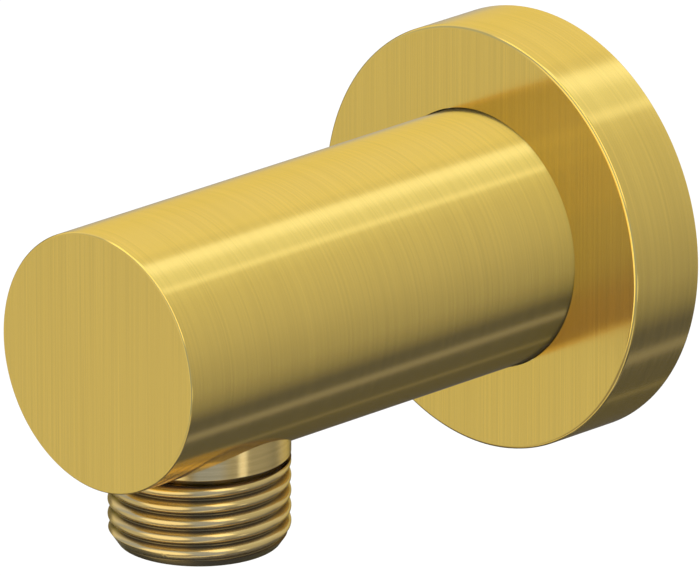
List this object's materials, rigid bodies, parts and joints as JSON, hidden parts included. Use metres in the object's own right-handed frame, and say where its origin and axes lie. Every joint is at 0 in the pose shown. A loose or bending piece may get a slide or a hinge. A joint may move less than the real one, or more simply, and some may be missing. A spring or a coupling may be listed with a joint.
{
  "type": "wall outlet elbow",
  "caption": "Wall outlet elbow for a shower hose: round body, sliding round rosette, and a male threaded outlet pointing down near the closed front, with a check valve inside.",
  "frame": {"origin": "where the body's axis meets the wall's face, at the shoulder of the wall thread", "axes": "+Y along the wall thread, into the wall; the body stands out of the wall along -Y; the outlet thread points down, along -Z; +X to the right for someone who faces the wall"},
  "size_m": [0.05, 0.0834, 0.05],
  "materials": {
    "brushed_brass": "brushed, with fine turning marks round the body and straight strokes on the flat faces",
    "nipple_brass": "turned, paler than the body",
    "raw_brass": "as machined",
    "black_rubber": "matt, lightly greased",
    "grey_foam_rubber": "matt",
    "white_plastic": "moulded",
    "stainless_steel": "bright"
  },
  "bodies": {
    "root": {"body": "brushed_brass", "outlet_nipple": "nipple_brass", "outlet_nipple_o_ring": "black_rubber", "wall_nipple": "raw_brass", "wall_nipple_front_o_ring": "black_rubber", "wall_nipple_rear_o_ring": "black_rubber", "set_screw": "stainless_steel", "check_valve_housing": "white_plastic", "check_valve_guide": "white_plastic", "check_valve_o_ring": "black_rubber", "check_valve_spring": "stainless_steel"},
    "sliding_rosette": {"rosette": "brushed_brass", "rosette_o_ring": "black_rubber", "rosette_gasket": "grey_foam_rubber"},
    "valve_poppet": {"check_valve_poppet": "white_plastic", "check_valve_seal": "black_rubber"}
  },
  "joints": [
    {"name": "rosette_slide", "type": "slide", "parent": "root", "child": "sliding_rosette", "axis": [0, -1, 0], "range_m": [0, 0.034]},
    {"name": "poppet_lift", "type": "slide", "parent": "root", "child": "valve_poppet", "axis": [0, 0, -1], "range_m": [0, 0.0025], "stiffness_N_per_m": 80, "springref_m": -0.002, "deforming": ["check_valve_spring"]}
  ]
}
